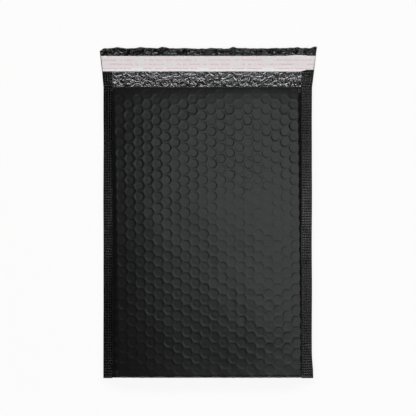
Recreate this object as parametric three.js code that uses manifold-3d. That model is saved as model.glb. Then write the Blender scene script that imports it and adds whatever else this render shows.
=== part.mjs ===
// A black padded mailer, empty, lying on its back with its flap laid open.
// Millimetres: X runs across it, Y runs up to the flap, Z rises from the table.

import * as THREE from 'three';
import { mergeVertices } from 'three/addons/utils/BufferGeometryUtils.js';
import Module from 'manifold-3d';

const wasm = await Module();
wasm.setup();

// Outline of the folded web
const bodyWidth = 200;
const pocketLength = 280;
const flapLength = 38;
const flapFlareLeft = 3.6;
const flapFlareRight = 5.3;

// Side seals, with the tail that runs on past the mouth
const sealWidth = 7.6;
const sealThickness = 1.2;
const sealTail = 15.6;
const seamHeight = 3.5;

// Layers of each wall and the room between the two walls
const filmDepth = 1.2;
const pitDepth = 0.7;
const layerGap = 0.3;
const liningThickness = 2;
const pocketGap = 4.8;

// Shoulders: how far the padding takes to reach its full height
const shoulderRun = 6;
const foldRun = 8;
const filmSideWall = 1;
const liningSideGap = 1.2;
const liningSideWall = 2.5;

// Bubble lattice: upright columns, every other one half a pitch higher
const columnSpacing = 8.78;
const bubblePitch = 10.4;
const bubbleRadius = 4.6;
const foldMargin = 4.5;

// Flattened lip along the mouth, at its narrowest
const lipWidth = 5;
const lipDrop = 1.2;

// Flap: film and crushed lining, then glue and its release liner
const flapFilm = 0.5;
const flapLining = 0.6;
const liningEdge = 0.6;
const mouthStep = 0.1;
const mouthLining = 1.6;
const trimInset = 0.5;
const trimRun = 1.5;
const linerWidth = 15.2;
const linerThickness = 0.2;
const linerInset = 0.8;
const glueWidth = 11;
const glueThickness = 0.25;
const glueInset = 4;

// Places that follow from the sizes above
const foldY = -(pocketLength + flapLength) / 2;
const mouthY = foldY + pocketLength;
const edgeY = mouthY + flapLength;
const sealEndY = mouthY + sealTail;
const bodyX = (flapFlareLeft - flapFlareRight) / 2;
const sealInner = bodyWidth / 2 - sealWidth;
const liningWall = filmDepth + layerGap;
const pocketWall = liningWall + liningThickness;
const fullHeight = 2 * pocketWall + pocketGap;
const flapYs = [mouthY, mouthY + sealTail / 2, sealEndY, edgeY];

// Shares of a shoulder at which its rounded profile has points
const shoulderStops = [0, 0.12, 0.36, 0.66, 1];

// Least distance between a row of the fold and the first row of the lattice
const rowSpare = 1;

// Lattice step: three of them span two columns, so every third point is a bubble's middle
const latticeStep = (columnSpacing * 2) / 3;
const fieldHalf = sealInner - shoulderStops[2] * shoulderRun - latticeStep / 4;
const columns = Math.floor((2 * fieldHalf) / columnSpacing);
const rowStep = bubblePitch / 2;
const rowCount = Math.floor((pocketLength - foldMargin - lipWidth) / rowStep);
const latticeY = foldY + foldMargin;
const lipY = latticeY + rowCount * rowStep;

const clamp01 = (value) => Math.min(1, Math.max(0, value));
const blend = (from, to, share) => from + (to - from) * share;

// Quarter round from 0 to 1, straight between its stops
function shoulder(distance, run) {
  const share = clamp01(distance / run);
  const round = (t) => Math.sqrt(1 - (1 - t) ** 2);
  const next = Math.max(1, shoulderStops.findIndex((stop) => stop >= share));
  const low = shoulderStops[next - 1];
  const high = shoulderStops[next];
  return blend(round(low), round(high), (share - low) / (high - low));
}

const sideRise = (x, inset) => shoulder(sealInner - inset - Math.abs(x - bodyX), shoulderRun);
const foldRise = (y, inset) => shoulder(y - foldY - inset, foldRun);
const rise = (x, y, inset) => sideRise(x, inset) * foldRise(y, inset);
const lipShare = (y) => clamp01((y - lipY) / (mouthY - lipY));

// 1 up to the mouth, then down to 0 where the side seals end
const tailShare = (y) => 1 - clamp01((y - mouthY) / sealTail);

// Edges of the flap, which spreads a little from the mouth to its end
const flareShare = (y) => clamp01((y - mouthY) / flapLength);
const leftEdge = (y) => bodyX - bodyWidth / 2 - flapFlareLeft * flareShare(y);
const rightEdge = (y) => bodyX + bodyWidth / 2 + flapFlareRight * flareShare(y);

// Heights of the film: front face, back face and the flap's upper face
const sealTop = seamHeight + sealThickness / 2;
const sealBottom = seamHeight - sealThickness / 2;

function filmFront(x, y) {
  const padded = blend(sealTop, fullHeight, rise(x, y, 0));
  return padded - lipDrop * lipShare(y) * sideRise(x, 0);
}

function filmBack(x, y) {
  return sealBottom * (1 - rise(x, y, 0)) * tailShare(y);
}

function flapTop(x, y) {
  const atMouth = sealThickness - mouthStep * sideRise(x, 0);
  return filmBack(x, y) + blend(flapFilm, atMouth, tailShare(y));
}

// Heights of a hollow or a sheet that lies a wall's depth inside the film
function insideFront(x, y, wall, inset, edge, drop) {
  const padded = blend(seamHeight + edge / 2, fullHeight - wall, rise(x, y, inset));
  return padded - drop * lipShare(y) * sideRise(x, inset);
}

function insideBack(x, y, wall, inset, edge) {
  return blend(seamHeight - edge / 2, wall, rise(x, y, inset));
}

// Fills the strip between two lines of points that are sorted by the same key
function strip(near, far, nearKeys, farKeys, flip) {
  const triangles = [];
  let i = 0;
  let j = 0;
  while (i < near.length - 1 || j < far.length - 1) {
    const nearNext = i < near.length - 1 ? nearKeys[i] + nearKeys[i + 1] : Infinity;
    const farNext = j < far.length - 1 ? farKeys[j] + farKeys[j + 1] : Infinity;
    const onNear = nearNext <= farNext;
    const corners = onNear ? [near[i], near[i + 1], far[j]] : [near[i], far[j + 1], far[j]];
    triangles.push(flip ? corners.reverse() : corners);
    i += onNear ? 1 : 0;
    j += onNear ? 0 : 1;
  }
  return triangles;
}

// Surface through rows of points that run left to right, each row { y, xs, zs }
function rowSurface(rows, positions, flip) {
  const lines = rows.map((row) => row.xs.map((x, i) => {
    positions.push([x, row.y, row.zs[i]]);
    return positions.length - 1;
  }));
  const triangles = [];
  for (let r = 0; r < rows.length - 1; r += 1) {
    triangles.push(...strip(lines[r], lines[r + 1], rows[r].xs, rows[r + 1].xs, flip));
  }
  return { rows, lines, triangles };
}

// Closed solid between an upper and a lower surface with the same outline.
// An upper row may name its pits, which become six-sided recesses with a flat floor.
function heightSolid(topRows, bottomRows) {
  const positions = [];
  const top = rowSurface(topRows, positions, false);
  const bottom = rowSurface(bottomRows, positions, true);
  const side = (at, flip) => strip(
    bottom.lines.map((line) => line.at(at)),
    top.lines.map((line) => line.at(at)),
    bottom.rows.map((row) => row.y),
    top.rows.map((row) => row.y),
    flip,
  );
  const end = (at, flip) => strip(
    bottom.lines.at(at),
    top.lines.at(at),
    bottom.rows.at(at).xs,
    top.rows.at(at).xs,
    flip,
  );
  const pits = topRows.flatMap((row, r) => (row.pits ?? []).map((i) => top.lines[r][i]));
  const triangles = [
    ...sunkenPits(top.triangles, positions, new Set(pits)),
    ...bottom.triangles,
    ...side(0, true),
    ...side(-1, false),
    ...end(0, false),
    ...end(-1, true),
  ];
  return mergedGeometry(positions.flat(), triangles.flat());
}

// Replaces the fan of triangles round each pit's middle by a sloping wall and a flat floor
function sunkenPits(triangles, positions, pits) {
  const kept = triangles.filter((corners) => !corners.some((corner) => pits.has(corner)));
  const rims = new Map([...pits].map((pit) => [pit, new Map()]));
  for (const [a, b, c] of triangles) {
    for (const [middle, from, to] of [[a, b, c], [b, c, a], [c, a, b]]) {
      rims.get(middle)?.set(from, to);
    }
  }
  for (const [middle, nextOf] of rims) {
    const rim = [[...nextOf.keys()][0]];
    while (nextOf.get(rim.at(-1)) !== rim[0]) {
      rim.push(nextOf.get(rim.at(-1)));
    }
    const floor = rim.map((corner) => sunkenCorner(positions, middle, corner));
    rim.forEach((corner, i) => {
      const next = (i + 1) % rim.length;
      kept.push([corner, rim[next], floor[next]], [corner, floor[next], floor[i]]);
    });
    for (let i = 1; i < floor.length - 1; i += 1) {
      kept.push([floor[0], floor[i], floor[i + 1]]);
    }
  }
  return kept;
}

// Corner of a pit's floor, below the film's face and a bubble's radius from the middle
function sunkenCorner(positions, middle, corner) {
  const [middleX, middleY] = positions[middle];
  const [cornerX, cornerY] = positions[corner];
  const outwards = new THREE.Vector2(cornerX - middleX, cornerY - middleY);
  outwards.setLength(bubbleRadius);
  const x = middleX + outwards.x;
  const y = middleY + outwards.y;
  positions.push([x, y, filmFront(x, y) - pitDepth]);
  return positions.length - 1;
}

// Joins equal points and leaves out triangles that have closed up
function mergedGeometry(positions, index) {
  const sameWithin = 1e-4;
  const loose = new THREE.BufferGeometry();
  loose.setAttribute('position', new THREE.Float32BufferAttribute(positions, 3));
  loose.setIndex(index);
  const geometry = mergeVertices(loose, sameWithin);
  const merged = geometry.index.array;
  const kept = [];
  for (let t = 0; t < merged.length; t += 3) {
    const [a, b, c] = merged.slice(t, t + 3);
    if (a !== b && b !== c && c !== a) {
      kept.push(a, b, c);
    }
  }
  geometry.setIndex(kept);
  return geometry;
}

function toSolid(geometry) {
  const vertProperties = new Float32Array(geometry.attributes.position.array);
  const triVerts = new Uint32Array(geometry.index.array);
  return new wasm.Manifold(new wasm.Mesh({ numProp: 3, vertProperties, triVerts }));
}

function cutAway(geometry, hollow) {
  const mesh = toSolid(geometry).subtract(toSolid(hollow)).getMesh();
  return mergedGeometry(Array.from(mesh.vertProperties), Array.from(mesh.triVerts));
}

// Points across a shoulder on both sides of the body, out to the given inset from the seal
function shoulderXs(inset) {
  const half = sealInner - inset;
  const right = shoulderStops.map((stop) => half - stop * shoulderRun);
  return [...right.map((x) => bodyX - x), ...right.map((x) => bodyX + x).reverse()];
}

const makeRow = (y, xs, height) => ({ y, xs, zs: xs.map((x) => height(x, y)) });

// Evenly spaced points across the padded field, shifted by half a step on odd rows
function latticeXs(odd) {
  const firstX = bodyX - ((columns - 1) / 2) * columnSpacing;
  const xs = [];
  for (let k = -1; firstX + k * latticeStep < bodyX + fieldHalf; k += 1) {
    const x = firstX + (k + odd / 2) * latticeStep;
    if (Math.abs(x - bodyX) < fieldHalf) {
      xs.push({ x, middle: (k - odd + 3) % 3 === 0 });
    }
  }
  return xs;
}

// A row across the whole body: its edges, its shoulders and the lattice between them
function bodyRow(y, odd, height) {
  const shoulders = shoulderXs(0).filter((x) => Math.abs(x - bodyX) > fieldHalf);
  const plain = [leftEdge(y), rightEdge(y), ...shoulders].map((x) => ({ x, middle: false }));
  const points = [...plain, ...latticeXs(odd)].sort((a, b) => a.x - b.x);
  const row = makeRow(y, points.map((point) => point.x), height);
  const middles = points.flatMap((point, i) => (point.middle ? [i] : []));
  return { row, middles };
}

// Bubble lattice as rows of points, of which every third is a bubble's middle
function bubbleRows() {
  return Array.from({ length: rowCount + 1 }, (_, r) => {
    const { row, middles } = bodyRow(latticeY + r * rowStep, r % 2, filmFront);
    const atEnd = r === 0 || r === rowCount;
    return { ...row, pits: atEnd ? [] : middles };
  });
}

// One folded web of film: front, bottom fold, back with its flap, closed at the side seals
function outerFilmGeometry() {
  const across = (y) => [leftEdge(y), ...shoulderXs(0), rightEdge(y)];
  const plainTop = (y, height) => bodyRow(y, 0, height).row;
  const foldYs = shoulderStops.map((stop) => foldY + stop * foldRun);
  const topRows = [
    ...foldYs.filter((y) => y < latticeY - rowSpare).map((y) => plainTop(y, filmFront)),
    ...bubbleRows(),
    plainTop(mouthY, filmFront),
    plainTop(mouthY, flapTop),
    ...flapYs.slice(1).map((y) => makeRow(y, across(y), flapTop)),
  ];
  const bottomRows = [...foldYs, ...flapYs].map((y) => makeRow(y, across(y), filmBack));
  return cutAway(heightSolid(topRows, bottomRows), hollow(filmDepth, filmSideWall, lipDrop));
}

// The space inside a wall, open past the mouth
function hollow(wall, inset, drop) {
  const xs = shoulderXs(inset);
  const top = (x, y) => insideFront(x, Math.min(y, mouthY), wall, inset, 0, drop);
  const bottom = (x, y) => insideBack(x, Math.min(y, mouthY), wall, inset, 0);
  const ys = shoulderStops.map((stop) => foldY + inset + stop * foldRun);
  const rows = [...ys, lipY, mouthY, mouthY + lipWidth];
  return heightSolid(
    rows.map((y) => makeRow(y, xs, top)),
    rows.map((y) => makeRow(y, xs, bottom)),
  );
}

// Bubble sheet folded inside the film, with its back half running up the flap
function bubbleLiningGeometry() {
  const inset = filmSideWall + liningSideGap;
  const xs = shoulderXs(inset);
  const front = (x, y) => insideFront(x, y, liningWall, inset, liningEdge, lipDrop);
  const back = (x, y) => insideBack(x, y, liningWall, inset, liningEdge);
  const flapUnder = (x, y) => {
    const onFilm = flapTop(x, y) + layerGap;
    return blend(onFilm, back(x, mouthY), tailShare(y));
  };
  const flapOver = (x, y) => {
    const atMouth = blend(liningEdge, mouthLining, sideRise(x, inset));
    return flapUnder(x, y) + blend(flapLining, atMouth, tailShare(y));
  };
  const wide = (y) => [leftEdge(y) + trimInset, ...xs, rightEdge(y) - trimInset];
  const trimY = sealEndY + trimRun;
  const foldYs = shoulderStops.map((stop) => foldY + inset + stop * foldRun);
  const pocketYs = [...foldYs, lipY, mouthY];
  const layer = (inPocket, onFlap) => [
    ...pocketYs.map((y) => makeRow(y, xs, inPocket)),
    ...flapYs.slice(0, -1).map((y) => makeRow(y, xs, onFlap)),
    ...[trimY, edgeY - trimInset].map((y) => makeRow(y, wide(y), onFlap)),
  ];
  const sheet = heightSolid(layer(front, flapOver), layer(back, flapUnder));
  return cutAway(sheet, hollow(pocketWall, inset + liningSideWall, 0));
}

// Flat strip across the flap, its ends parallel to the flap's spread edges
function flapStripGeometry(middleY, width, inset, thickness, height) {
  const low = middleY - width / 2;
  const high = middleY + width / 2;
  const outline = new THREE.Shape([
    new THREE.Vector2(leftEdge(low) + inset, low),
    new THREE.Vector2(rightEdge(low) - inset, low),
    new THREE.Vector2(rightEdge(high) - inset, high),
    new THREE.Vector2(leftEdge(high) + inset, high),
  ]);
  const geometry = new THREE.ExtrudeGeometry(outline, { depth: thickness, bevelEnabled: false });
  return geometry.translate(0, 0, height);
}

const finish = (color, roughness) => new THREE.MeshStandardMaterial({ color, roughness, metalness: 0 });

function namedMesh(name, geometry, material) {
  const mesh = new THREE.Mesh(geometry, material);
  mesh.name = name;
  return mesh;
}

const glueHeight = flapFilm + layerGap + flapLining;
const linerHeight = glueHeight + glueThickness;
const stripMiddleY = sealEndY + linerWidth / 2;

const mailer = new THREE.Group();
mailer.add(namedMesh('outer_film', outerFilmGeometry(), finish('#39393a', 0.5)));
mailer.add(namedMesh('bubble_lining', bubbleLiningGeometry(), finish('#4a4a4c', 0.3)));
mailer.add(namedMesh(
  'adhesive_strip',
  flapStripGeometry(stripMiddleY, glueWidth, glueInset, glueThickness, glueHeight),
  finish('#d9d3c2', 0.6),
));
mailer.add(namedMesh(
  'release_liner',
  flapStripGeometry(stripMiddleY, linerWidth, linerInset, linerThickness, linerHeight),
  finish('#e0dcde', 0.45),
));

export default mailer;
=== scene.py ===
import math

import bmesh
import bpy
from mathutils import Matrix, Quaternion, Vector, noise


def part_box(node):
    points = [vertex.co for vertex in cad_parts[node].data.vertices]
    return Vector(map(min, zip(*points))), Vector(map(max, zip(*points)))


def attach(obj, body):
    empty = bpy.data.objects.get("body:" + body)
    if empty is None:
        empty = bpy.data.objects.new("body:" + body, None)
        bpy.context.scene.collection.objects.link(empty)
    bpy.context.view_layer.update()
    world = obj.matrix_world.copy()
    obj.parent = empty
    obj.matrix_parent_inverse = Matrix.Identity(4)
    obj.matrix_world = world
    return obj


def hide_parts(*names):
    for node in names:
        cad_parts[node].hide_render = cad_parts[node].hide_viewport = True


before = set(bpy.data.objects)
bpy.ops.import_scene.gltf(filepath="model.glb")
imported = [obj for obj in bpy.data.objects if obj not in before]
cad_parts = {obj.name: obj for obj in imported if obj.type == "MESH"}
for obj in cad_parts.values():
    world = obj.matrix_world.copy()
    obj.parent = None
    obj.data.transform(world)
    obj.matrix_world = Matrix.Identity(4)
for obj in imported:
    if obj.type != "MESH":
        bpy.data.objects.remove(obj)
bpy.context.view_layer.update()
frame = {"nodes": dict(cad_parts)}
print("frame loaded:", ", ".join(frame["nodes"]))

scene = bpy.context.scene
scene.view_settings.view_transform = "Standard"

mm = 0.001

# The whole mailer, in millimetres. A wave is a pair, its height and its length.
# Where the sides differ, -1 is the left one and 1 the right one
mailer = {
    "width": 200.0,
    "pocketLength": 280.0,
    "flare": {-1: 3.6, 1: 5.3},  # spread of the flap's two corners
    "edgeMargin": 0.7,  # the web's sides stand this far past the width
    "sideWave": (0.35, 46.0),
    "cornerSpread": {-1: 0.2, 1: 1.3},  # and its bottom corners this much more
    "cornerRun": 26.0,
    "fullHeight": 11.8,
    "slackRoom": 0.3,  # room for the slack of the front under the full height
    "slackWaves": [(0.4, 60.0), (0.15, 24.0)],
    "ripple": (0.09, 6.0),  # small ripples, which grow towards the lower right
    "rippleStretch": 0.7,
    "rippleFrom": (-40.0, 90.0),
    "rippleRun": (90.0, 150.0),
    "seamHeight": 3.5,  # the side seals stand this far above the table
    "flapSeam": 0.9,  # and come down to this on the flap
    "tailLength": 15.6,  # over this length past the mouth
    "seamWave": (0.35, 38.0),
    "sealInner": {-1: 91.9, 1: 90.6},  # inner edge of each seal, from the middle line
    "sealThickness": 1.2,
    "wallRun": 0.35,  # width of the padding's steep side, next to the seal
    "shoulderRun": {-1: 3.0, 1: 3.65},  # width of the steep side and the sloping shoulder together
    "shoulderLean": {-1: 1.0, 1: 0.7},  # how far the shoulder follows the lean of the bubble sheet
    "shoulderBulge": 0.4,
    "shoulderWave": (0.3, 7.0),
    "crestSlope": {-1: 0.43, 1: 0.36},  # mean slope of the shoulder above the steep side
    "pillowRun": 52.0,
    "pillowRise": 1.5,
    "foldRun": 1.4,
    "foldShare": 0.1,  # share of the height lost over the bottom fold before it turns down
    "foldInset": 0.3,  # the turn lies this far inside the solids' edge
    "lipRun": 20.0,  # the front droops over this length towards the mouth
    "lipDrop": 0.9,
    "columns": 20,
    "columnSpacing": 8.77,
    "firstColumn": -84.8,
    "pitch": 10.4,
    "rows": 26,
    "topRow": 114.6,  # middle of the highest cells
    "lean": -0.0146,  # the bubble sheet runs a little askew
    "leanFrom": 80.0,
}

filmLow, filmHigh = (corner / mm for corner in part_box("outer_film"))
linerLow, linerHigh = (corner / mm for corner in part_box("release_liner"))
foldY = filmLow.y
mouthY = foldY + mailer["pocketLength"]
edgeY = filmHigh.y
stripY = linerLow.y
middleX = (mailer["flare"][-1] - mailer["flare"][1]) / 2
halfWidth = mailer["width"] / 2
restHeight = mailer["fullHeight"] - mailer["slackRoom"]
riseHeight = restHeight - mailer["seamHeight"] - mailer["sealThickness"] / 2
seedSpacing = 7.37  # keeps the noise of one seed clear of the next


def clamp01(t):
    return max(0.0, min(1.0, t))


def ease(t):
    t = clamp01(t)
    return t * t * (3 - 2 * t)


def roundRise(t):
    t = clamp01(t)
    return math.sqrt(1 - (1 - t) ** 2)


def arch(t):
    return 1 - (1 - clamp01(t)) ** 2


def mix(a, b, t):
    return a + (b - a) * t


def wobble(x, y, size, seed):
    return noise.noise(Vector((x / size, y / size, seed * seedSpacing + 0.5)))


def wave(pair, x, y, seed):
    height, length = pair
    return height * wobble(x, y, length, seed)


def chance(i, j, seed):
    return 0.5 + 0.5 * noise.cell(Vector((i + 0.5, j + 0.5, seed + 0.5)))


def jitter(amount, i, j, seed):
    return amount * (chance(i, j, seed) - 0.5)


# Height of the seam between front and back, which sinks on to the flap past the mouth
def seamAt(y):
    sink = ease((y - mouthY) / mailer["tailLength"])
    height = mix(mailer["seamHeight"], mailer["flapSeam"], sink)
    return height + wave(mailer["seamWave"], 0, y, 1) * (1 - sink)


# Sideways shift of the bubble sheet at this height
def leanAt(y):
    return mailer["lean"] * (y - mailer["leanFrom"])


# Width of the shoulder, which narrows a little where a bubble of the outermost column bulges into it
def shoulderRunAt(side, y):
    firstY = mailer["topRow"] - (mailer["pitch"] / 2 if side < 0 else 0)
    bulge = mailer["shoulderBulge"] * math.cos(2 * math.pi * (y - firstY) / mailer["pitch"])
    uneven = wave(mailer["shoulderWave"], side * 50, y, 24) - bulge
    return mailer["shoulderRun"][side] - side * mailer["shoulderLean"][side] * leanAt(y) + uneven


# Share of the height of the padding: a short steep side, a sloping shoulder, then a slow pillow
def sideRise(x, y):
    side = 1 if x > middleX else -1
    inside = mailer["sealInner"][side] - abs(x - middleX)
    above = inside - mailer["wallRun"]
    crestRun = shoulderRunAt(side, y) - mailer["wallRun"]
    crest = mailer["crestSlope"][side] * crestRun
    wall = riseHeight - crest - mailer["pillowRise"]
    t = clamp01(above / crestRun)
    rise = wall * clamp01(inside / mailer["wallRun"]) + crest * t * (4 - t ** 3) / 3
    return (rise + mailer["pillowRise"] * arch(above / mailer["pillowRun"])) / riseHeight


def foldRise(y):
    t = clamp01((y - foldY - mailer["foldInset"]) / mailer["foldRun"])
    return 1 - mailer["foldShare"] * (1 - t) ** 1.6


def frontZ(x, y):
    rise = sideRise(x, y) * foldRise(y)
    seamTop = seamAt(y) + mailer["sealThickness"] / 2
    droop = clamp01((y - mouthY + mailer["lipRun"]) / mailer["lipRun"]) ** 3
    broad, short = mailer["slackWaves"]
    slack = wave(broad, x, y, 2) + wave(short, x, y, 3)
    fromX, fromY = mailer["rippleFrom"]
    runX, runY = mailer["rippleRun"]
    ripple = wave(mailer["ripple"], x, mailer["rippleStretch"] * y, 23)
    slack += ripple * ease((fromY - y) / runY) * ease((x - fromX) / runX)
    return mix(seamTop, restHeight + slack, rise) - mailer["lipDrop"] * droop * sideRise(x, y)


def backZ(x, y):
    seamUnder = seamAt(y) - mailer["sealThickness"] / 2
    return seamUnder * (1 - sideRise(x, y) * foldRise(y))


# Side edges of the web: nearly straight beside the pocket, spread along the flap
def sideEdge(side, y):
    spread = mailer["flare"][side] * clamp01((y - mouthY) / (edgeY - mouthY))
    corner = mailer["cornerSpread"][side] * ease((foldY + mailer["cornerRun"] - y) / mailer["cornerRun"])
    reach = halfWidth + mailer["edgeMargin"] + spread + corner
    return middleX + side * (reach + wave(mailer["sideWave"], side * 40, y, 4))


# Cut edge of the flap: uneven, with a few small peaks, a dog-eared left and a raised right corner
flapEnd = {
    "past": 0.25,  # past the solids' edge, before the waves
    "mostPast": 2.2,
    "waves": [(0.6, 9.0), (0.55, 4.2)],
    "peaks": [(-44, 1.3, 3.2), (-88, 0.5, 7), (24, 1.0, 3), (83, 0.9, 6), (103.5, 1.7, 4.5), (-66, 0.5, 9)],
    "earDrop": 2.3,
    "earFrom": -100.2,
    "earRun": 5.0,
    "lift": 0.15,
    "liftWave": (0.6, 13.0),
    "liftRun": 9.0,
}


# Each peak has a place, a height and a width
def flapEdge(x):
    broad, short = flapEnd["waves"]
    y = edgeY + flapEnd["past"] + wave(broad, x, 0, 5) + wave(short, x, 0, 6)
    for peakX, height, width in flapEnd["peaks"]:
        y += height * math.exp(-(((x - peakX) / width) ** 2))
    y -= flapEnd["earDrop"] * ease((flapEnd["earFrom"] - x) / flapEnd["earRun"])
    return min(y, edgeY + flapEnd["mostPast"])


# The loose end of the flap curls a little
def flapLift(x, y):
    lift = max(0.0, flapEnd["lift"] + wave(flapEnd["liftWave"], x, 0, 7))
    return lift * ease((y - edgeY + flapEnd["liftRun"]) / flapEnd["liftRun"])


def linear(code):
    parts = [int(code[k:k + 2], 16) / 255 for k in (1, 3, 5)]
    return tuple(p / 12.92 if p <= 0.04045 else ((p + 0.055) / 1.055) ** 2.4 for p in parts) + (1.0,)


# Adds a node with its settings, then links its inputs
def addNode(tree, kind, settings, links):
    node = tree.nodes.new(kind)
    for name, value in settings.items():
        if isinstance(name, int) or name in node.inputs:
            node.inputs[name].default_value = value
        else:
            setattr(node, name, value)
    for name, source in links.items():
        tree.links.new(source, node.inputs[name])
    return node


firstColor, secondColor, mixedColor = 6, 7, 2  # colour sockets of a Mix node: two inputs and the output


def newMaterial(name):
    material = bpy.data.materials.new(name)
    material.use_nodes = True
    tree = material.node_tree
    tree.nodes.clear()
    return material, tree


# Noise scale for a feature of this many millimetres, on coordinates in metres
def perMm(size):
    return 1000.0 / size


def meshPiece(name, bm, material, smooth=True):
    mesh = bpy.data.meshes.new(name)
    bm.to_mesh(mesh)
    bm.free()
    mesh.transform(Matrix.Scale(mm, 4))
    if smooth:
        mesh.shade_smooth()
    mesh.materials.append(material)
    piece = bpy.data.objects.new(name, mesh)
    scene.collection.objects.link(piece)
    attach(piece, "root")
    return piece


# Faces between two lines of points of the same length
def bridge(bm, near, far):
    for k in range(len(near) - 1):
        bm.faces.new((near[k], near[k + 1], far[k + 1], far[k]))


# Lines of points as one sheet, each line a list of positions
def gridSheet(bm, lines):
    rows = [[bm.verts.new(p) for p in line] for line in lines]
    for near, far in zip(rows, rows[1:]):
        bridge(bm, near, far)
    return rows


# Joins the rims of an upper and a lower sheet of the same grid
def closeRims(bm, upper, lower):
    for a, b in ((upper[0], lower[0]), (lower[-1], upper[-1])):
        bridge(bm, b, a)
    for k, flip in ((0, False), (-1, True)):
        a, b = [row[k] for row in upper], [row[k] for row in lower]
        bridge(bm, *((a, b) if flip else (b, a)))


# A strip with an upper and a lower skin over the same places
def thickStrip(places, underAt, thickness):
    bm = bmesh.new()
    lower = gridSheet(bm, [[(x, y, underAt(x, y)) for x, y in line] for line in places])
    upper = gridSheet(bm, [[(x, y, underAt(x, y) + thickness) for x, y in line] for line in places])
    closeRims(bm, upper, lower)
    bmesh.ops.recalc_face_normals(bm, faces=bm.faces)
    return bm


# Black polyethylene film, blown and laminated over the bubbles: satin, near black,
# with a broad soft sheen, a fine grain and faint creases
blackFilm = {
    "color": "#050505",
    "worn": "#0b0b0a",
    "roughness": (0.26, 0.32),
    "ior": 1.51,
    "grain": 1.4,  # mm; the real grain is 0.2 mm, drawn coarser so that it shows
    "crease": 6.0,
}


# A piece that stores a shade value for its points has its reflection turned down where the value is high:
# painted shade for the shade in its pits
def filmMaterial(name, look):
    material, tree = newMaterial(name)
    pitShadePainted = addNode(tree, "ShaderNodeAttribute", {"attribute_name": "pitShadePainted"}, {})
    shine = addNode(tree, "ShaderNodeMapRange", {"To Min": 0.5, "To Max": 0.0},
                    {"Value": pitShadePainted.outputs["Fac"]})
    place = addNode(tree, "ShaderNodeTexCoord", {}, {})
    grain = addNode(tree, "ShaderNodeTexNoise", {"Scale": perMm(look["grain"]), "Detail": 3.0},
                    {"Vector": place.outputs["Object"]})
    crease = addNode(tree, "ShaderNodeTexNoise",
                     {"Scale": perMm(look["crease"]), "Detail": 4.0, "Distortion": 0.8},
                     {"Vector": place.outputs["Object"]})
    tint = addNode(tree, "ShaderNodeMix", {
        "data_type": "RGBA",
        firstColor: linear(look["color"]),
        secondColor: linear(look["worn"]),
    }, {"Factor": crease.outputs["Fac"]})
    low, high = look["roughness"]
    rough = addNode(tree, "ShaderNodeMapRange", {"To Min": low, "To Max": high},
                    {"Value": grain.outputs["Fac"]})
    creaseBump = addNode(tree, "ShaderNodeBump", {"Strength": 0.2, "Distance": 0.3 * mm},
                         {"Height": crease.outputs["Fac"]})
    grainBump = addNode(tree, "ShaderNodeBump", {"Strength": 0.2, "Distance": 0.06 * mm},
                        {"Height": grain.outputs["Fac"], "Normal": creaseBump.outputs["Normal"]})
    shader = addNode(tree, "ShaderNodeBsdfPrincipled", {"IOR": look["ior"]}, {
        "Base Color": tint.outputs[mixedColor],
        "Roughness": rough.outputs["Result"],
        "Specular IOR Level": shine.outputs["Result"],
        "Normal": grainBump.outputs["Normal"],
    })
    addNode(tree, "ShaderNodeOutputMaterial", {}, {"Surface": shader.outputs["BSDF"]})
    return material


blackFilmMaterial = filmMaterial("black polyethylene film", blackFilm)

# The same film where the heated roller has fused it: darker and shinier
fusedFilm = {**blackFilm, "color": "#040404", "worn": "#080807", "roughness": (0.24, 0.31)}
fusedFilmMaterial = filmMaterial("fused polyethylene film", fusedFilm)

# Cells of the bubble sheet as they show through the film: sunken discs in a raised net
cells = {
    "spokes": 24,
    "rings": [(1.2, 1.0), (3.6, 1.0), (3.9, 0.88), (4.3, 0.35), (4.6, 0.0)],  # radius, share of depth
    "depth": 0.18,
    "uneven": (0.7, 1.25),  # least and most share of the depth
    "pressedLeft": (0.5, 0.77),  # share of the depth low down and high up
    "pressedRight": (0.4, 0.8),
    "pressedFrom": -10.0,  # where low turns to high
    "pressedRun": 80.0,
    "acrossGain": 1.8,
    "acrossStart": 0.2,
    "margin": 6.0,  # nearer than this, cells are flat at the fold and shallow at the lip
    "foldShare": 0.6,
    "foldRun": 22.0,
    "lipShare": 0.35,
    "lipRun": 16.0,
    "shift": 0.5,
    "size": 0.95,
    "sizeSpread": 0.08,
    "crown": 0.2,  # rise of the disc's middle, as a share of the depth
    "crownEdge": 0.8,  # share of it that the first ring keeps
    "nub": 0.5,  # more rise in the middle of some discs
    "tilt": 0.5,  # discs sink more on the side towards the middle of the mailer
    "tiltSpread": 0.5,
    "tiltReach": 4.0,
    "weld": 0.02,
}


def hexBoundary(spokes):
    wide = mailer["columnSpacing"] * 2 / 3
    high = mailer["pitch"] / 2
    corners = [(wide, 0), (wide / 2, high), (-wide / 2, high)]
    corners += [(-x, -y) for x, y in corners]
    perSide = spokes // 6
    points = []
    for k in range(6):
        a, b = corners[k], corners[(k + 1) % 6]
        points += [(mix(a[0], b[0], s / perSide), mix(a[1], b[1], s / perSide)) for s in range(perSide)]
    return points


# Middle of a cell: columns run up and down, every other one half a pitch lower
def cellMiddle(column, row):
    y = mailer["topRow"] - (row + 0.5 * (1 - column % 2)) * mailer["pitch"]
    return mailer["firstColumn"] + column * mailer["columnSpacing"] + leanAt(y), y


def cellDepth(column, row, y):
    flatTo = foldY + cells["margin"]
    if not (0 <= column < mailer["columns"] and 0 <= row < mailer["rows"]) or y <= flatTo:
        return 0.0
    nearLip = mix(cells["lipShare"], 1.0, ease((mouthY - cells["margin"] - y) / cells["lipRun"]))
    nearFold = mix(cells["foldShare"], 1.0, ease((y - flatTo) / cells["foldRun"]))
    up = ease((y - cells["pressedFrom"]) / cells["pressedRun"])
    across = ease(column / mailer["columns"] * cells["acrossGain"] - cells["acrossStart"])
    pressed = mix(mix(*cells["pressedLeft"], up), mix(*cells["pressedRight"], up), across)
    uneven = mix(*cells["uneven"], chance(column, row, 1))
    return cells["depth"] * pressed * uneven * nearLip * nearFold


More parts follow.
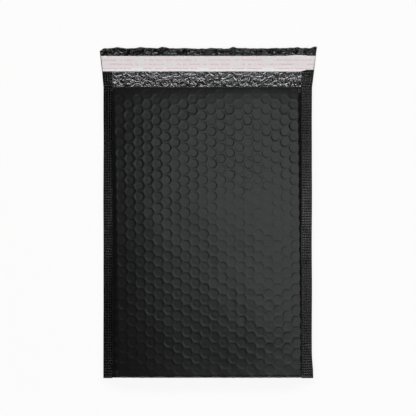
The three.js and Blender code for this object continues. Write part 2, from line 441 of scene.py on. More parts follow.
# Raised net with its sunken discs: side 1 looks up, side -1 looks down
def bubbleField(side, heightAt):
    verts, faces = [], []
    boundary = hexBoundary(cells["spokes"])
    count = len(boundary)
    for column in range(-1, mailer["columns"] + 1):
        for row in range(-2, mailer["rows"] + 2):
            cellX, cellY = cellMiddle(column, row)
            depth = cellDepth(column, row, cellY)
            shiftX = jitter(cells["shift"], column, row, 2)
            shiftY = jitter(cells["shift"], column, row, 3)
            size = cells["size"] + cells["sizeSpread"] * chance(column, row, 4)
            inward = mix(cells["tilt"], -cells["tilt"], column / mailer["columns"])
            tiltX = jitter(cells["tiltSpread"], column, row, 5) + inward
            tiltY = jitter(cells["tiltSpread"], column, row, 6)
            nub = cells["nub"] * max(0.0, chance(column, row, 7) - 0.5) * 2
            start = len(verts)
            x, y = cellX + shiftX, cellY + shiftY
            verts.append((x, y, heightAt(x, y) - side * depth * (1 - cells["crown"] - nub)))
            for k, (radius, share) in enumerate(cells["rings"]):
                crown = cells["crown"] * cells["crownEdge"] if k == 0 else 0
                for offsetX, offsetY in boundary:
                    reach = radius * size / math.hypot(offsetX, offsetY)
                    x = cellX + shiftX + offsetX * reach
                    y = cellY + shiftY + offsetY * reach
                    slope = (tiltX * offsetX + tiltY * offsetY) * reach / cells["tiltReach"]
                    drop = depth * share * (1 + slope - crown)
                    verts.append((x, y, heightAt(x, y) - side * drop))
            for offsetX, offsetY in boundary:
                y = cellY + offsetY
                x = cellX + offsetX + mailer["lean"] * offsetY
                verts.append((x, y, heightAt(x, y)))
            for k in range(count):
                n = (k + 1) % count
                faces.append((start, start + 1 + k, start + 1 + n))
                for ring in range(len(cells["rings"])):
                    near = start + 1 + ring * count
                    far = near + count
                    faces.append((near + k, far + k, far + n, near + n))
    mesh = bpy.data.meshes.new("cells")
    mesh.from_pydata(verts, [], faces)
    bm = bmesh.new()
    bm.from_mesh(mesh)
    bpy.data.meshes.remove(mesh)
    bmesh.ops.remove_doubles(bm, verts=bm.verts, dist=cells["weld"])
    return bm


# Cuts the sheet off at a plane, which may lean, and returns the points of the cut in order
def trim(bm, axis, at, keep, lean=0.0):
    point, normal = Vector((0, 0, 0)), Vector((0, 0, 0))
    point[axis], normal[axis], normal[1 - axis] = at, -keep, keep * lean
    geometry = bm.verts[:] + bm.edges[:] + bm.faces[:]
    bmesh.ops.bisect_plane(bm, geom=geometry, dist=0.001, plane_co=point, plane_no=normal, clear_outer=True)
    rim = [v for v in bm.verts if abs((v.co - point).dot(normal)) < 0.003]
    return sorted(rim, key=lambda v: v.co[1 - axis])


# Grows the sheet from a rim, one line of points for each function
def grow(bm, rim, placers):
    for placer in placers:
        line = [bm.verts.new(placer(v.co)) for v in rim]
        bridge(bm, rim, line)
        rim = line
    return rim


# Shoulder and steep side down to a seal, as shares of their widths
shoulder = {
    "margin": 0.75,  # the cells are cut off this far inside it
    "crestShares": (0.0, 0.1, 0.22, 0.36, 0.5, 0.65, 0.8, 0.985, 1.0),
    "wallShares": (0.95, 0.65, 0.3, 0.0),
}


def addShoulder(bm, heightAt, side):
    def placeAt(inside, y):
        x = middleX + side * (mailer["sealInner"][side] - inside)
        return (x, y, heightAt(x, y))

    def onCrest(share):
        return lambda p: placeAt(mix(shoulderRunAt(side, p.y), mailer["wallRun"], share), p.y)

    def onWall(share):
        return lambda p: placeAt(share * mailer["wallRun"], p.y)

    straight = mailer["shoulderRun"][side] - side * mailer["shoulderLean"][side] * leanAt(0)
    edge = middleX + side * (mailer["sealInner"][side] - straight - shoulder["margin"])
    rim = trim(bm, 0, edge, -side, mailer["shoulderLean"][side] * mailer["lean"])
    crest = [onCrest(s) for s in shoulder["crestShares"]]
    grow(bm, rim, crest + [onWall(s) for s in shoulder["wallShares"]])


# Bottom fold: a short slope, a sharp turn and the folded edge down to the height of the seam
nose = {
    "start": 1.2,
    "steps": 6,
    "shares": (0.1, 0.25, 0.45, 0.7, 1.0),
    "reach": 0.4,
    "wave": (0.3, 11.0),
    "waveDown": 8.0,
    "dent": 0.2,  # the edge stands out and back with the columns of bubbles
}


def addNose(bm, heightAt):
    edge = foldY + mailer["foldInset"]

    def dent(x):
        columnX = x - mailer["firstColumn"] - leanAt(foldY)
        return nose["dent"] * math.cos(2 * math.pi * columnX / mailer["columnSpacing"])

    def onEdge(p, share):
        reach = nose["reach"] + wave(nose["wave"], p.x, nose["waveDown"] * share, 25) + dent(p.x)
        return (p.x, edge - reach * arch(share), mix(heightAt(p.x, edge), seamAt(foldY), share))

    rim = trim(bm, 1, foldY + nose["start"], 1)
    steps = nose["steps"]
    slopeYs = [mix(foldY + nose["start"], edge, (k + 1) / steps) for k in range(steps)]
    rim = grow(bm, rim, [lambda p, y=y: (p.x, y, heightAt(p.x, y)) for y in slopeYs])
    grow(bm, rim, [lambda p, share=share: onEdge(p, share) for share in nose["shares"]])


# Wall of the pocket, with everything but its end at the mouth
def pocketWall(side, heightAt):
    bm = bubbleField(side, heightAt)
    addShoulder(bm, heightAt, -1)
    addShoulder(bm, heightAt, 1)
    addNose(bm, heightAt)
    return bm


def settleNormals(bm, up):
    bmesh.ops.recalc_face_normals(bm, faces=bm.faces)
    if sum(f.normal.z * f.calc_area() for f in bm.faces) * up < 0:
        bmesh.ops.reverse_faces(bm, faces=bm.faces)


# Front wall of the pocket, with its sharp lip turned down and in along the mouth
lip = {
    "start": 1.4,
    "past": 0.4,
    "waves": [(0.3, 10.0), (0.25, 3.6)],
    "rows": [  # how far inward and how far down each line of points lies
        (0.8, 0.0), (0.4, 0.02), (0.16, 0.08), (0.04, 0.2), (0.0, 0.4),
        (0.0, 1.1), (0.1, 1.7), (0.7, 2.3), (2.2, 2.5),
    ],
    "sideShare": 0.3,  # of the way down, at the seals
}


def mouthLine(x):
    broad, short = lip["waves"]
    return mouthY + lip["past"] + wave(broad, x, 0, 8) + wave(short, x, 0, 9)


def onLip(x, inward, drop):
    y = mouthLine(x) - inward
    return (x, y, frontZ(x, y) - drop * mix(lip["sideShare"], 1.0, sideRise(x, mouthY)))


front = pocketWall(1, frontZ)
frontRim = trim(front, 1, mouthY - lip["start"], -1)
grow(front, frontRim, [lambda p, row=row: onLip(p.x, *row) for row in lip["rows"]])
settleNormals(front, 1)
filmFront = meshPiece("film_front", front, blackFilmMaterial)
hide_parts("outer_film")
print("front wall:", len(filmFront.data.polygons), "faces")

# Back wall of the pocket, with the same cells pressed up from the table
back = pocketWall(-1, backZ)
trim(back, 1, mouthY, -1)
settleNormals(back, -1)
filmBack = meshPiece("film_back", back, blackFilmMaterial)
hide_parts("outer_film")
print("back wall:", len(filmBack.data.polygons), "faces")

# Flap: the back web running on past the mouth
flap = {
    "columns": 210,
    "rows": 44,
    "overlap": 1.5,
    "thickness": 0.35,
    "sinkRun": 30.0,
    "creaseWave": (0.12, 7.0),
    "creaseRun": 10.0,
}


def flapUnder(x, y):
    past = y - mouthY
    crease = max(0.0, wave(flap["creaseWave"], x, y, 10)) * ease(past / flap["creaseRun"])
    return backZ(x, y) * (1 - ease(past / flap["sinkRun"])) + flapLift(x, y) + crease


flapPlaces = []
for row in range(flap["rows"] + 1):
    t = row / flap["rows"]
    y0 = mix(mouthY - flap["overlap"], edgeY, t)
    line = []
    for column in range(flap["columns"] + 1):
        x = mix(sideEdge(-1, y0), sideEdge(1, y0), column / flap["columns"])
        line.append((x, mix(mouthY - flap["overlap"], flapEdge(x), t)))
    flapPlaces.append(line)
filmFlap = meshPiece("film_flap", thickStrip(flapPlaces, flapUnder, flap["thickness"]), blackFilmMaterial)
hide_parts("outer_film")
print("flap:", len(filmFlap.data.polygons), "faces")

# Knurled side seals, from the bottom fold to the strip on the flap
seal = {
    "step": 0.3,
    "stepAlong": 0.313,
    "pastFold": 0.7,
    "underStrip": 1.6,
    "edgeShare": 0.55,  # share of the thickness at the outer edge
    "edgeRun": 0.9,
    "clearance": 0.05,  # least height over the table
    "plainRim": 0.2,
    "firstPit": 1.0,  # from the outer edge
    "pitAcross": 2.4,
    "pitAlong": 2.505,
    "pitHalf": (0.88, 1.12),  # across and along, so that the net reads as lines along the seal
    "pitDepth": 0.65,
    "pressed": 0.85,  # share of the depth, before the wave
    "pressedWave": (0.3, 9.0),
    # painted shade: the pits of the left seal, further from the sheen softbox, are darkened more than those
    # of the right
    "pitShade": {-1: 1.0, 1: 0.55},  # share of the sheen lost in the pits; the right seal keeps more
    "shadeGain": 8.0,  # it is lost from an eighth of the depth
}


# Square pits left by the heated roller, with a flat net between them
def knurl(u, inside, y):
    if u < seal["plainRim"] or inside < seal["plainRim"]:
        return 0.0
    across = abs(((u - seal["firstPit"]) / seal["pitAcross"] + 0.5) % 1 - 0.5) * seal["pitAcross"]
    along = abs(((y - foldY) / seal["pitAlong"] + 0.5) % 1 - 0.5) * seal["pitAlong"]
    pressed = seal["pressed"] + wave(seal["pressedWave"], u, y, 11)
    halfAcross, halfAlong = seal["pitHalf"]
    return seal["pitDepth"] * pressed * clamp01(1 - max(across / halfAcross, along / halfAlong))


def makeSeal(side, name):
    topY = stripY + seal["underStrip"]
    inner = middleX + side * mailer["sealInner"][side]
    columns = round(abs(sideEdge(side, foldY) - inner) / seal["step"])
    rows = round((topY - foldY) / seal["stepAlong"])
    upper, lower, pits = [], [], []
    for row in range(rows + 1):
        y = mix(foldY - seal["pastFold"], topY, row / rows)
        outer = sideEdge(side, y)
        seam = seamAt(y)
        up, down = [], []
        for column in range(columns + 1):
            x = mix(outer, inner, column / columns)
            u = abs(outer - x)
            half = mailer["sealThickness"] / 2 * mix(seal["edgeShare"], 1.0, ease(u / seal["edgeRun"]))
            pit = knurl(u, abs(x - inner), y)
            up.append((x, y, seam + half - pit))
            down.append((x, y, max(seal["clearance"], seam - half)))
            pits.append(pit)
        upper.append(up)
        lower.append(down)
    bm = bmesh.new()
    upperRows, lowerRows = gridSheet(bm, upper), gridSheet(bm, lower)
    closeRims(bm, upperRows, lowerRows)
    bmesh.ops.recalc_face_normals(bm, faces=bm.faces)
    bm.verts.index_update()
    # Painted shade: each point of a pit gets a shade value from its depth, which turns its reflection down
    pitShadesPainted = [0.0] * len(bm.verts)
    upperVerts = [vert for line in upperRows for vert in line]
    for vert, pit in zip(upperVerts, pits):
        deep = clamp01(pit / seal["pitDepth"] * seal["shadeGain"])
        pitShadesPainted[vert.index] = seal["pitShade"][side] * deep
    piece = meshPiece(name, bm, fusedFilmMaterial, smooth=False)
    piece.data.attributes.new("pitShadePainted", "FLOAT", "POINT").data.foreach_set("value", pitShadesPainted)
    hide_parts("outer_film")
    return piece


sealLeft = makeSeal(-1, "seal_left")
sealRight = makeSeal(1, "seal_right")
print("side seals:", len(sealLeft.data.polygons), "and", len(sealRight.data.polygons), "faces")

# Low density bubble film, heat drawn and crushed flat at the flap: thin, glossy and dark,
# so every crinkle throws its own small glint
liningFilm = {
    "color": "#131315",
    "pale": "#242426",
    "pressed": "#080808",  # at the cut edge, where it lies flat on the black film
    "cutRun": 1.0,
    "roughness": (0.18, 0.3),
    "ior": 1.51,
    "crinkle": 1.8,
    "haze": 7.0,
    "gloss": 0.13,  # roughness of its smooth skin
}


def liningMaterial(look):
    material, tree = newMaterial("glossy bubble film")
    place = addNode(tree, "ShaderNodeTexCoord", {}, {})
    crinkle = addNode(tree, "ShaderNodeTexNoise",
                      {"Scale": perMm(look["crinkle"]), "Detail": 3.0, "Distortion": 1.2},
                      {"Vector": place.outputs["Object"]})
    haze = addNode(tree, "ShaderNodeTexNoise", {"Scale": perMm(look["haze"]), "Detail": 2.0},
                   {"Vector": place.outputs["Object"]})
    tint = addNode(tree, "ShaderNodeMix", {
        "data_type": "RGBA",
        firstColor: linear(look["color"]),
        secondColor: linear(look["pale"]),
    }, {"Factor": haze.outputs["Fac"]})
    parts = addNode(tree, "ShaderNodeSeparateXYZ", {}, {"Vector": place.outputs["Object"]})
    cutEdge = addNode(tree, "ShaderNodeMapRange", {
        "From Min": linerHigh.y * mm,
        "From Max": (linerHigh.y + look["cutRun"]) * mm,
    }, {"Value": parts.outputs["Y"]})
    base = addNode(tree, "ShaderNodeMix", {"data_type": "RGBA", secondColor: linear(look["pressed"])},
                   {"Factor": cutEdge.outputs["Result"], firstColor: tint.outputs[mixedColor]})
    shine = addNode(tree, "ShaderNodeMapRange", {"To Min": 1.0, "To Max": 0.05},
                    {"Value": cutEdge.outputs["Result"]})
    low, high = look["roughness"]
    rough = addNode(tree, "ShaderNodeMapRange", {"To Min": low, "To Max": high},
                    {"Value": haze.outputs["Fac"]})
    bump = addNode(tree, "ShaderNodeBump", {"Strength": 0.2, "Distance": 0.3 * mm},
                   {"Height": crinkle.outputs["Fac"]})
    shader = addNode(tree, "ShaderNodeBsdfPrincipled", {
        "IOR": look["ior"], "Coat Weight": 1.0, "Coat Roughness": look["gloss"], "Coat IOR": look["ior"],
    }, {
        "Specular IOR Level": shine.outputs["Result"],
        "Base Color": base.outputs[mixedColor],
        "Roughness": rough.outputs["Result"],
        "Normal": bump.outputs["Normal"],
        "Coat Normal": bump.outputs["Normal"],
    })
    addNode(tree, "ShaderNodeOutputMaterial", {}, {"Surface": shader.outputs["BSDF"]})
    return material


bubbleFilmMaterial = liningMaterial(liningFilm)

# Bubble sheet on the flap: crushed bubbles in the open band, pressed flat under the strip
crush = {
    "step": 0.4,
    "bandRows": 44,
    "stripRows": 16,
    "edgeRows": 18,
    "tuck": 7.0,  # how far the sheet runs in under the lip
    "ringHeight": 0.72,
    "ringWidth": 0.62,
    "ringStrength": (0.4, 1.0),
    "ringShift": (2.2, 2.4),
    "ringStretch": (0.8, 1.7),
    "ringWave": (1.0, 5.0),
    "outerRing": 3.9,
    "innerRing": (1.6, 2.6),
    "foldHeight": 0.8,
    "foldSize": 4.2,
    "foldSharpness": 2.4,
    "fineHeight": 0.16,
    "fineSize": 2.2,
    "fineSharpness": 2.0,
    "ridgePower": 1.3,
    "bendWave": (2.2, 6.0),
    "stretch": (0.75, 1.15),
    "base": 0.5,
    "thickness": (1.5, 0.7),  # at the mouth and at the strip
    "edgeThinning": 0.4,
    "edgeThinningRun": 6.0,
    "sideDrop": 0.3,
    "loose": (1.0, 0.75),  # share of the crumpling at the mouth and at the strip
    "looseFrom": 3.0,
    "looseRun": 9.0,
    "edgeLoose": 0.45,  # and past the strip, from this far below its upper edge
    "edgeFrom": 5.0,
    "stripHeight": 1.36,
    "stripRun": 1.6,
    "stripOverlap": (0.8, 0.9),  # it starts to go flat, and to rise again, this far below the two edges
    "fadeRun": 2.0,
    "sideMargin": 0.9,
    "underSeal": 0.4,
    "widenFrom": 0.4,  # past the seals' ends it widens to the flap's sides
    "widenRun": 1.2,
    "cutMargin": 0.8,
    "cutWave": (0.3, 3.0),
    "cutBlend": 8.0,
}


def ridge(x, y, size, sharpness, seed):
    return max(0.0, 1 - abs(wobble(x, y, size, seed)) * sharpness) ** crush["ridgePower"]


def crumple(x, y):
    column = round((x - leanAt(y) - mailer["firstColumn"]) / mailer["columnSpacing"])
    shiftX, shiftY = crush["ringShift"]
    ring = 0.0
    for near in (column - 1, column, column + 1):
        row = round((mailer["topRow"] - y) / mailer["pitch"] - 0.5 * (1 - near % 2))
        cellX, cellY = cellMiddle(near, row)
        offsetX = x - cellX - jitter(shiftX, near, row, 8)
        offsetY = y - cellY - jitter(shiftY, near, row, 9)
        offsetY *= mix(*crush["ringStretch"], chance(near, row, 10))
        bent = math.hypot(offsetX, offsetY) + wave(crush["ringWave"], x, y, 12)
        strength = mix(*crush["ringStrength"], chance(near, row, 11))
        for radius in (crush["outerRing"], mix(*crush["innerRing"], chance(near, row, 12))):
            ring = max(ring, math.exp(-(((bent - radius) / crush["ringWidth"]) ** 2)) * strength)
    bendX, bendY = wave(crush["bendWave"], x, y, 13), wave(crush["bendWave"], x, y, 14)
    wideX, wideY = crush["stretch"][0] * x, crush["stretch"][1] * y
    folds = ridge(wideX + bendX, wideY + bendY, crush["foldSize"], crush["foldSharpness"], 15)
    fine = ridge(wideX + bendY, wideY - bendX, crush["fineSize"], crush["fineSharpness"], 16)
    return crush["ringHeight"] * ring + crush["foldHeight"] * folds + crush["fineHeight"] * fine


def liningTop(x, y):
    onFlap = clamp01((y - mouthY) / mailer["tailLength"])
    thinning = crush["edgeThinning"] * ease((y - linerHigh.y) / crush["edgeThinningRun"])
    thickness = mix(*crush["thickness"], onFlap) - thinning
    beforeStrip = 1 - ease((y - stripY) / crush["fadeRun"])
    atSide = (seamAt(y) - crush["sideDrop"]) * (1 - sideRise(x, y)) * beforeStrip
    below, above = crush["stripOverlap"]
    underStrip = ease((y - stripY + below) / crush["stripRun"])
    underStrip *= 1 - ease((y - linerHigh.y + above) / crush["stripRun"])
    loose = mix(*crush["loose"], ease((y - mouthY - crush["looseFrom"]) / crush["looseRun"]))
    if y >= linerHigh.y - crush["edgeFrom"]:
        loose = crush["edgeLoose"]
    onFilm = flapUnder(x, y) * ease((y - linerHigh.y) / crush["fadeRun"])
    height = onFilm + crush["base"] + thickness + atSide
    return mix(height + loose * crumple(x, y), crush["stripHeight"], underStrip)


def liningEdge(side, y):
    full = sideEdge(side, y) - side * crush["sideMargin"]
    narrow = middleX + side * (mailer["sealInner"][side] + crush["underSeal"])
    return mix(narrow, full, ease((y - stripY - crush["widenFrom"]) / crush["widenRun"]))


liningYs = [mix(mouthY - crush["tuck"], stripY, k / crush["bandRows"]) for k in range(crush["bandRows"])]
liningYs += [mix(stripY, linerHigh.y, k / crush["stripRows"]) for k in range(crush["stripRows"])]
liningYs += [mix(linerHigh.y, edgeY, k / crush["edgeRows"]) for k in range(crush["edgeRows"] + 1)]
liningColumns = round(2 * halfWidth / crush["step"])
liningLines = []
for y in liningYs:
    above = clamp01((y - linerHigh.y) / (edgeY - linerHigh.y))
    line = []
    for k in range(liningColumns + 1):
        x = mix(liningEdge(-1, y), liningEdge(1, y), k / liningColumns)
        cutY = flapEdge(x) - crush["cutMargin"] - wave(crush["cutWave"], x, 0, 17)
        placeY = mix(y, mix(linerHigh.y, cutY, above), ease(above * crush["cutBlend"]))
        line.append((x, placeY, liningTop(x, placeY)))
    liningLines.append(line)
liningMesh = bmesh.new()
gridSheet(liningMesh, liningLines)
settleNormals(liningMesh, 1)
liningFlap = meshPiece("lining_flap", liningMesh, bubbleFilmMaterial)
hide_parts("bubble_lining")
print("lining on the flap:", len(liningFlap.data.polygons), "faces")

# Bubble sheet inside the pocket, seen only through the mouth
pocket = {"columns": 84, "rows": 96, "wall": 2.7, "inset": 2.2, "belowMouth": 0.9, "slack": (0.3, 6.0)}


def pocketPoint(x, y, upper):
    closed = sideRise(x, y) * roundRise((y - foldY - pocket["inset"]) / mailer["foldRun"])
    ruffle = wave(pocket["slack"], x, y, 18) * closed
    over = frontZ(x, y) - pocket["wall"] + ruffle
    under = backZ(x, y) + pocket["wall"] + ruffle
    return (x, y, mix(seamAt(y), over if upper else under, closed))


# One folded web: down the front from the mouth, round the fold and up the back
pocketMesh = bmesh.new()
pocketHalf = mailer["sealInner"][1] - pocket["inset"]
pocketTop = mouthY - pocket["belowMouth"]
pocketYs = [mix(pocketTop, foldY + pocket["inset"], roundRise(k / pocket["rows"]))
            for k in range(pocket["rows"] + 1)]
pocketLines = []
for k in range(pocket["columns"] + 1):
    x = middleX - pocketHalf * math.cos(math.pi * k / pocket["columns"])
    over = [pocketPoint(x, y, True) for y in pocketYs]
    under = [pocketPoint(x, y, False) for y in reversed(pocketYs[:-1])]
    pocketLines.append(over + under)
gridSheet(pocketMesh, pocketLines)
bmesh.ops.recalc_face_normals(pocketMesh, faces=pocketMesh.faces)
liningPocket = meshPiece("lining_pocket", pocketMesh, bubbleFilmMaterial)
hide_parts("bubble_lining")
print("lining in the pocket:", len(liningPocket.data.polygons), "faces")

# Hot melt glue, a soft tacky strip with a dull shine
hotMelt = {"color": "#d6cbab", "pale": "#e2dac2", "roughness": 0.42, "ior": 1.49, "ripple": 3.0}
hotMeltMaterial, tree = newMaterial("hot melt glue")
place = addNode(tree, "ShaderNodeTexCoord", {}, {})
ripple = addNode(tree, "ShaderNodeTexNoise", {"Scale": perMm(hotMelt["ripple"]), "Detail": 2.0},
                 {"Vector": place.outputs["Object"]})
tint = addNode(tree, "ShaderNodeMix", {
    "data_type": "RGBA",
    firstColor: linear(hotMelt["color"]),
    secondColor: linear(hotMelt["pale"]),
}, {"Factor": ripple.outputs["Fac"]})
bump = addNode(tree, "ShaderNodeBump", {"Strength": 0.3, "Distance": 0.2 * mm},
               {"Height": ripple.outputs["Fac"]})
shader = addNode(tree, "ShaderNodeBsdfPrincipled", {"Roughness": hotMelt["roughness"], "IOR": hotMelt["ior"]},
                 {"Base Color": tint.outputs[mixedColor], "Normal": bump.outputs["Normal"]})
addNode(tree, "ShaderNodeOutputMaterial", {}, {"Surface": shader.outputs["BSDF"]})
glue = frame["nodes"]["adhesive_strip"]
glue.data.materials.clear()
glue.data.materials.append(hotMeltMaterial)
print("glue strip finished")

# Siliconised polyethylene release liner: pale, smooth and faintly grey,
# with three faint rows of short pink dashes
liner = {
    "color": "#ebe7e7",
    "shade": "#e2dddd",
    "dash": "#e9bbc7",
    # painted light as well: the bare lower edge is drawn lighter still, to offset the shadow that the
    # pocket's lip casts on it
    "margin": "#f6f4f4",  # bare edge below the rows
    "marginRun": (5.0, 1.0),  # from the lower edge, where it starts and where it is full
    "roughness": 0.4,
    "ior": 1.5,
    "cloud": 14.0,
    "creases": 9.0,
    "rowSpacing": 4.1,
    "rowMiddle": 143.6,
    "rowHeight": 1.5,
    "rowBlur": 0.15,
    "groupLength": 63.5,
    "groupShare": 0.82,
    "dashLength": 3.4,
    "dashStep": 5.3,  # keeps the dashes of one row clear of the next
    "dashRange": (0.37, 0.47),
    "columns": 208,
    "rows": 18,
    "thickness": 0.14,
    "lift": 0.18,
    "waves": [(0.16, 22.0), (0.08, 8.0)],
    "sideMargin": 0.5,
    "lowMargin": 0.05,
    "lowWave": (0.25, 30.0),
    "cornerLift": 1.7,  # the lower edge rises at its right end
    "cornerFrom": 88.0,
    "cornerRun": 8.0,
    "highMargin": 0.2,
    "highWave": (0.2, 34.0),
    "highPeak": (86.0, 0.9, 9.0),  # place, height and width
    "curl": 0.5,
    "curlFrom": 86.0,
    "curlRun": (14.0, 5.0),
}


def linerMaterial(look):
    material, tree = newMaterial("siliconised release liner")
    mathKind = "ShaderNodeMath"
    place = addNode(tree, "ShaderNodeTexCoord", {}, {})
    parts = addNode(tree, "ShaderNodeSeparateXYZ", {}, {"Vector": place.outputs["Object"]})
    # Rows: whole part picks the row, the rest says how far across it a point lies
    across = addNode(tree, mathKind, {
        "operation": "MULTIPLY_ADD",
        1: perMm(look["rowSpacing"]),
        2: 1.5 - look["rowMiddle"] / look["rowSpacing"],
    }, {0: parts.outputs["Y"]})
    row = addNode(tree, mathKind, {"operation": "FLOOR"}, {0: across.outputs[0]})
    within = addNode(tree, mathKind, {"operation": "FRACT"}, {0: across.outputs[0]})
    offRow = addNode(tree, mathKind, {"operation": "SUBTRACT", 1: 0.5}, {0: within.outputs[0]})
    offRowSize = addNode(tree, mathKind, {"operation": "ABSOLUTE"}, {0: offRow.outputs[0]})
    rowHalf = 0.5 * look["rowHeight"] / look["rowSpacing"]
    onRow = addNode(tree, "ShaderNodeMapRange", {"From Min": rowHalf, "From Max": rowHalf - look["rowBlur"]},
                    {"Value": offRowSize.outputs[0]})
    rowCount = addNode(tree, mathKind, {"operation": "COMPARE", 1: 1.0, 2: 1.1}, {0: row.outputs[0]})
    # Groups: every other row is moved along by half a group
    along = addNode(tree, mathKind, {"operation": "MULTIPLY", 1: perMm(look["groupLength"])},
                    {0: parts.outputs["X"]})
    moved = addNode(tree, mathKind, {"operation": "MULTIPLY_ADD", 1: 0.5},
                    {0: row.outputs[0], 2: along.outputs[0]})
    group = addNode(tree, mathKind, {"operation": "FRACT"}, {0: moved.outputs[0]})
    onGroup = addNode(tree, mathKind, {"operation": "LESS_THAN", 1: look["groupShare"]},
                      {0: group.outputs[0]})
    # Dashes of uneven length
    dashX = addNode(tree, mathKind, {"operation": "MULTIPLY", 1: perMm(look["dashLength"])},
                    {0: parts.outputs["X"]})
    dashY = addNode(tree, mathKind, {"operation": "MULTIPLY", 1: look["dashStep"]}, {0: row.outputs[0]})
    dashAt = addNode(tree, "ShaderNodeCombineXYZ", {}, {"X": dashX.outputs[0], "Y": dashY.outputs[0]})
    dashes = addNode(tree, "ShaderNodeTexNoise", {"Scale": 1.0, "Detail": 1.0}, {"Vector": dashAt.outputs[0]})
    dashLow, dashHigh = look["dashRange"]
    onDash = addNode(tree, "ShaderNodeMapRange", {"From Min": dashLow, "From Max": dashHigh},
                     {"Value": dashes.outputs["Fac"]})
    printed = onRow
    for mask in (onGroup, rowCount, onDash):
        printed = addNode(tree, mathKind, {"operation": "MULTIPLY"},
                          {0: printed.outputs[0], 1: mask.outputs[0]})
    cloud = addNode(tree, "ShaderNodeTexNoise", {"Scale": perMm(look["cloud"]), "Detail": 3.0},
                    {"Vector": place.outputs["Object"]})
    ground = addNode(tree, "ShaderNodeMix", {
        "data_type": "RGBA",
        firstColor: linear(look["color"]),
        secondColor: linear(look["shade"]),
    }, {"Factor": cloud.outputs["Fac"]})
    # Lower edge drawn lighter: partly the liner's own unprinted edge, partly painted light against the shadow
    # of the pocket's lip
    marginStart, marginFull = look["marginRun"]
    nearEdge = addNode(tree, "ShaderNodeMapRange", {
        "From Min": (stripY + marginStart) * mm,
        "From Max": (stripY + marginFull) * mm,
    }, {"Value": parts.outputs["Y"]})
    bareEdgeAndPaintedLight = addNode(tree, "ShaderNodeMix", {"data_type": "RGBA", secondColor: linear(look["margin"])},
                    {"Factor": nearEdge.outputs[0], firstColor: ground.outputs[mixedColor]})
    dashed = addNode(tree, "ShaderNodeMix", {"data_type": "RGBA", secondColor: linear(look["dash"])},
                     {"Factor": printed.outputs[0], firstColor: bareEdgeAndPaintedLight.outputs[mixedColor]})
    creases = addNode(tree, "ShaderNodeTexNoise",
                      {"Scale": perMm(look["creases"]), "Detail": 4.0, "Distortion": 0.6},
                      {"Vector": place.outputs["Object"]})
    bump = addNode(tree, "ShaderNodeBump", {"Strength": 0.3, "Distance": 0.3 * mm},
                   {"Height": creases.outputs["Fac"]})
    shader = addNode(tree, "ShaderNodeBsdfPrincipled", {"Roughness": look["roughness"], "IOR": look["ior"]},
                     {"Base Color": dashed.outputs[mixedColor], "Normal": bump.outputs["Normal"]})
    addNode(tree, "ShaderNodeOutputMaterial", {}, {"Surface": shader.outputs["BSDF"]})
    return material


def linerLowLine(x):
    corner = liner["cornerLift"] * ease((x - liner["cornerFrom"]) / liner["cornerRun"])
    return stripY + liner["lowMargin"] + wave(liner["lowWave"], x, 0, 19) + corner


def linerHighLine(x):
    peakX, height, width = liner["highPeak"]
    peak = height * math.exp(-(((x - peakX) / width) ** 2))
    return linerHigh.y - liner["highMargin"] + wave(liner["highWave"], x, 0, 20) + peak


def linerZ(x, y):
    broad, short = liner["waves"]
    runX, runY = liner["curlRun"]
    curl = liner["curl"] * ease((x - liner["curlFrom"]) / runX) * ease((stripY + runY - y) / runY)
    return linerLow.z + liner["lift"] + (wave(broad, x, y, 21) + wave(short, x, y, 22)) + curl


linerPlaces = []
for row in range(liner["rows"] + 1):
    t = row / liner["rows"]
    y0 = mix(linerLow.y, linerHigh.y, t)
    left, right = sideEdge(-1, y0) + liner["sideMargin"], sideEdge(1, y0) - liner["sideMargin"]
    line = []
    for column in range(liner["columns"] + 1):
        x = mix(left, right, column / liner["columns"])
        line.append((x, mix(linerLowLine(x), linerHighLine(x), t)))
    linerPlaces.append(line)
linerMesh = thickStrip(linerPlaces, linerZ, liner["thickness"])
releaseLiner = meshPiece("release_liner_strip", linerMesh, linerMaterial(liner))
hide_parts("release_liner")
print("release liner:", len(releaseLiner.data.polygons), "faces")

# White floor: it reads as white to the camera and in reflections, and keeps part of the shadow
studio = {
    "floorSize": 12.0,
    "floorDrop": 0.0006,
    "floorColor": "#f7f6f5",
    "whiteShare": 0.86,
    "worldStrength": 0.015,
    "sheenPower": 0.99,  # softbox overhead that gives the film its sheen
    "sheenSize": (0.528, 0.361),
    "sheenPlace": (0.14, 0.012, 0.9),
    "sheenTurn": -0.78,
    "sheenColor": (0.955, 1.0, 0.995),
    "cornerPower": {-1: 7.4, 1: 8.8},  # four long softboxes, two past the fold and two past the flap
    "cornerSize": (1.5, 0.27),
    "cornerReach": (0.54, 1.08),
    "cornerHeight": 0.94,
    "cornerColor": (1.0, 1.0, 1.0),
}
bpy.ops.mesh.primitive_plane_add(size=studio["floorSize"], location=(0, 0, -studio["floorDrop"]))
floor = bpy.context.object
floor.name = "floor"
floorMaterial, tree = newMaterial("white paper sweep")
rays = addNode(tree, "ShaderNodeLightPath", {}, {})
seen = addNode(tree, "ShaderNodeMath", {"operation": "MAXIMUM"},
               {0: rays.outputs["Is Camera Ray"], 1: rays.outputs["Is Glossy Ray"]})
seenThrough = addNode(tree, "ShaderNodeMath", {"operation": "MAXIMUM"},
                      {0: seen.outputs[0], 1: rays.outputs["Is Transmission Ray"]})
share = addNode(tree, "ShaderNodeMath", {"operation": "MULTIPLY", 1: studio["whiteShare"]},
                {0: seenThrough.outputs[0]})
paper = addNode(tree, "ShaderNodeBsdfDiffuse", {"Color": linear(studio["floorColor"])}, {})
white = addNode(tree, "ShaderNodeEmission", {"Strength": 1.0}, {})
both = addNode(tree, "ShaderNodeMixShader", {},
               {0: share.outputs[0], 1: paper.outputs[0], 2: white.outputs[0]})
addNode(tree, "ShaderNodeOutputMaterial", {}, {"Surface": both.outputs[0]})
floor.data.materials.append(floorMaterial)

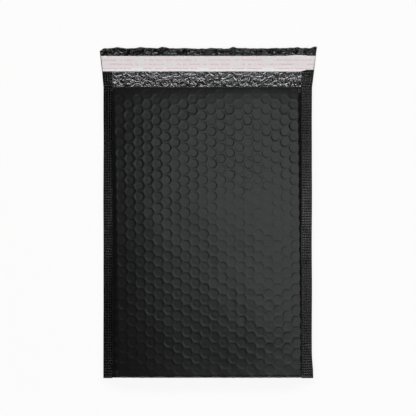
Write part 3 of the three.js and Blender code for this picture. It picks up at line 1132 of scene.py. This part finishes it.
world = bpy.data.worlds.new("studio")
scene.world = world
world.use_nodes = True
tree = world.node_tree
tree.nodes.clear()
rays = addNode(tree, "ShaderNodeLightPath", {}, {})
strength = addNode(tree, "ShaderNodeMapRange", {"To Min": studio["worldStrength"], "To Max": 1.0},
                   {"Value": rays.outputs["Is Camera Ray"]})
sky = addNode(tree, "ShaderNodeBackground", {"Color": (1, 1, 1, 1)}, {"Strength": strength.outputs[0]})
addNode(tree, "ShaderNodeOutputWorld", {}, {"Surface": sky.outputs[0]})


def addSoftbox(name, power, color, size, place, aim, turn):
    lamp = bpy.data.lights.new(name, "AREA")
    lamp.color = color
    lamp.shape = "RECTANGLE"
    lamp.size, lamp.size_y = size
    lamp.energy = power
    softbox = bpy.data.objects.new(name, lamp)
    softbox.location = place
    facing = (Vector(aim) - softbox.location).to_track_quat("-Z", "Y")
    softbox.rotation_euler = (facing @ Quaternion((0, 0, 1), turn)).to_euler()
    scene.collection.objects.link(softbox)


sheenX, sheenY, sheenZ = studio["sheenPlace"]
addSoftbox("sheen softbox", studio["sheenPower"], studio["sheenColor"], studio["sheenSize"],
           (sheenX, sheenY, sheenZ), (sheenX, sheenY, 0), studio["sheenTurn"])
reachX, reachY = studio["cornerReach"]
for sideX in (-1, 1):
    for sideY in (-1, 1):
        corner = (sideX * reachX, sideY * reachY, studio["cornerHeight"])
        addSoftbox("corner softbox", studio["cornerPower"][sideY], studio["cornerColor"],
                   studio["cornerSize"], corner, (0, 0, 0), 0.0)
print("studio set")

# Camera straight above, as the photograph was taken
shot = {"height": 1.6, "fieldWidth": 0.4008, "planeHeight": 0.008, "middle": (-0.00051, 0.0046)}
lens = bpy.data.cameras.new("camera")
lens.sensor_fit = "HORIZONTAL"
lens.angle = 2 * math.atan(shot["fieldWidth"] / 2 / (shot["height"] - shot["planeHeight"]))
camera = bpy.data.objects.new("camera", lens)
camera.location = (*shot["middle"], shot["height"])
scene.collection.objects.link(camera)
scene.camera = camera
